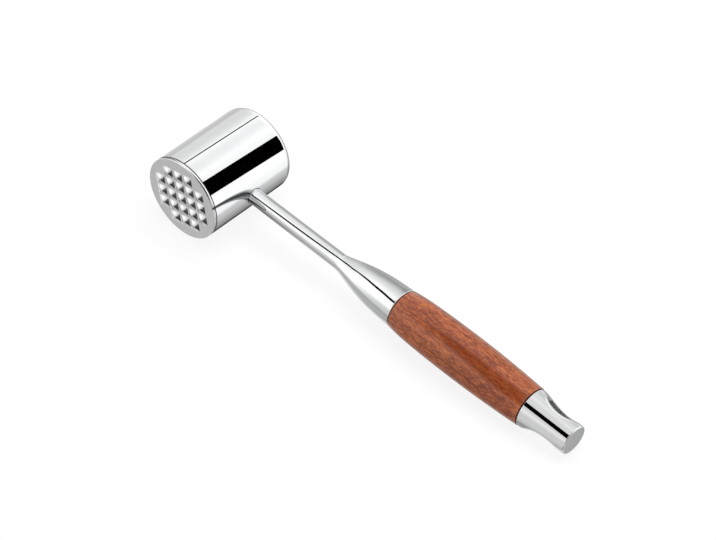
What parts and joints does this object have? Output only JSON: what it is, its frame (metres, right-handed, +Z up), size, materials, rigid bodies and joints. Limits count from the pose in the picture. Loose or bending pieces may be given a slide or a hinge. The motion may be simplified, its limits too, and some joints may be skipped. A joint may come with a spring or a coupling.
{
  "type": "meat tenderizer",
  "caption": "Hand meat mallet: weighted steel head with one studded and one smooth face, slim stem, flared ferrule, wooden grip and steel end cap with a hanging slot.",
  "frame": {"origin": "middle of the footprint, on the surface that the mallet lies on", "axes": "+Z up, +X along the handle from the head to the end cap, +Y along the head's axis from the studded face to the smooth face"},
  "size_m": [0.2712, 0.0606, 0.048],
  "materials": {
    "polished_steel": "mirror polished stainless steel",
    "satin_steel": "satin stainless steel",
    "machined_steel": "plain machined steel",
    "core_iron": "plain machined iron",
    "seal_rubber": "black rubber",
    "red_wood": "oiled reddish-brown hardwood, semi-gloss"
  },
  "bodies": {
    "root": {"head_shell": "polished_steel", "head_core": "core_iron", "studded_face": "satin_steel", "face_seal": "seal_rubber", "face_stud": "machined_steel", "stem_lock_screw": "machined_steel", "stem_seal": "seal_rubber", "stem": "polished_steel", "ferrule": "polished_steel", "ferrule_gasket": "seal_rubber", "wood_grip": "red_wood", "grip_washer": "machined_steel", "grip_lock_washer": "machined_steel", "grip_nut": "machined_steel", "cap_gasket": "seal_rubber", "end_cap": "polished_steel"}
  },
  "joints": []
}
